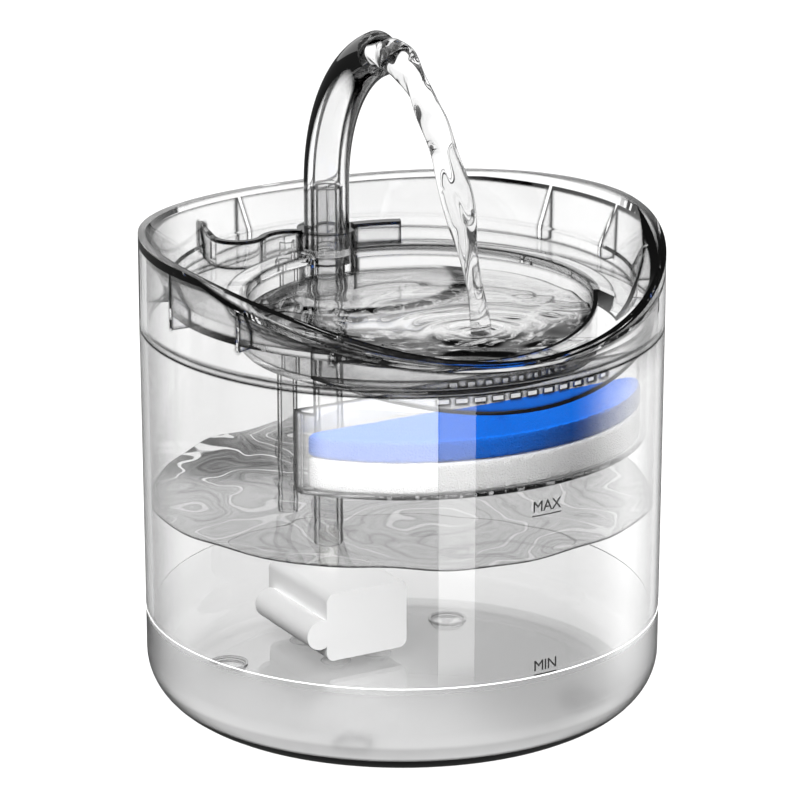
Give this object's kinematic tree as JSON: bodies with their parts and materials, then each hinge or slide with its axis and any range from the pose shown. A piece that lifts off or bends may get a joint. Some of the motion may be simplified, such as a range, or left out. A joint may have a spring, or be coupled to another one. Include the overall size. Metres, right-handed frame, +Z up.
{
  "type": "pet water fountain",
  "caption": "Clear round pet water fountain: tank, arched drinking tray with a gooseneck spout, filter box under the tray and a small pump on the tank floor.",
  "frame": {"origin": "middle of the surface that the fountain stands on, under the axis of the tank", "axes": "+Z up, -Y towards the front, where the rim is lowest and the spout points; +X to the right seen from the front"},
  "size_m": [0.18, 0.18, 0.2339],
  "materials": {
    "clear_plastic": "clear, glossy",
    "clear_silicone": "clear, satin",
    "blue_sponge": "open-cell sponge",
    "white_cotton": "non-woven pad",
    "carbon_grains": "loose grains",
    "white_plastic": "white, satin",
    "inner_plastic": "white, satin",
    "stator_iron": "stamped sheets",
    "copper_wire": "enamelled wire",
    "dark_rubber": "matte",
    "impeller_plastic": "matte",
    "magnet": "satin",
    "shaft_steel": "ground"
  },
  "bodies": {
    "base": {"tank": "clear_plastic", "tank_feet": "clear_silicone"},
    "tray": {"drinking_tray": "clear_plastic", "riser_pipe": "clear_plastic", "cord_guide": "clear_plastic"},
    "spout_mount": {"spout_seal": "clear_silicone"},
    "spout": {"spout": "clear_plastic"},
    "filter_holder": {"filter_box": "clear_plastic"},
    "filter_pads": {"filter_cotton": "white_cotton", "filter_carbon": "carbon_grains", "filter_sponge": "blue_sponge"},
    "pump": {"pump_housing": "white_plastic", "motor_can": "inner_plastic", "stator_core": "stator_iron", "stator_coil": "copper_wire", "impeller_chamber": "inner_plastic", "chamber_cover": "inner_plastic", "chamber_seal": "dark_rubber", "rotor_shaft": "shaft_steel", "shaft_bushes": "dark_rubber", "suction_cups": "clear_silicone", "cord_gland": "white_plastic"},
    "intake": {"intake_cover": "white_plastic"},
    "rotor": {"impeller": "impeller_plastic", "rotor_magnet": "magnet"}
  },
  "joints": [
    {"name": "tray_lift", "type": "slide", "parent": "base", "child": "tray", "axis": [0, 0, 1], "range_m": [0, 0.06]},
    {"name": "spout_pull", "type": "slide", "parent": "tray", "child": "spout_mount", "axis": [0, 0, 1], "range_m": [0, 0.012]},
    {"name": "spout_swivel", "type": "hinge", "parent": "spout_mount", "child": "spout", "pos_m": [0, 0.053, 0.1445], "axis": [0, 0, 1], "range_deg": [-60, 60]},
    {"name": "box_drop", "type": "slide", "parent": "tray", "child": "filter_holder", "axis": [0, 0, -1], "range_m": [0, 0.025]},
    {"name": "pads_lift", "type": "slide", "parent": "filter_holder", "child": "filter_pads", "axis": [0, 0, 1], "range_m": [0, 0.006]},
    {"name": "pump_lift", "type": "slide", "parent": "base", "child": "pump", "axis": [0, 0, 1], "range_m": [0, 0.006]},
    {"name": "cover_slide", "type": "slide", "parent": "pump", "child": "intake", "axis": [0, 1, 0], "range_m": [0, 0.008]},
    {"name": "rotor_spin", "type": "hinge", "parent": "pump", "child": "rotor", "pos_m": [0, 0.053, 0.0201], "axis": [0, 1, 0], "continuous": true}
  ]
}
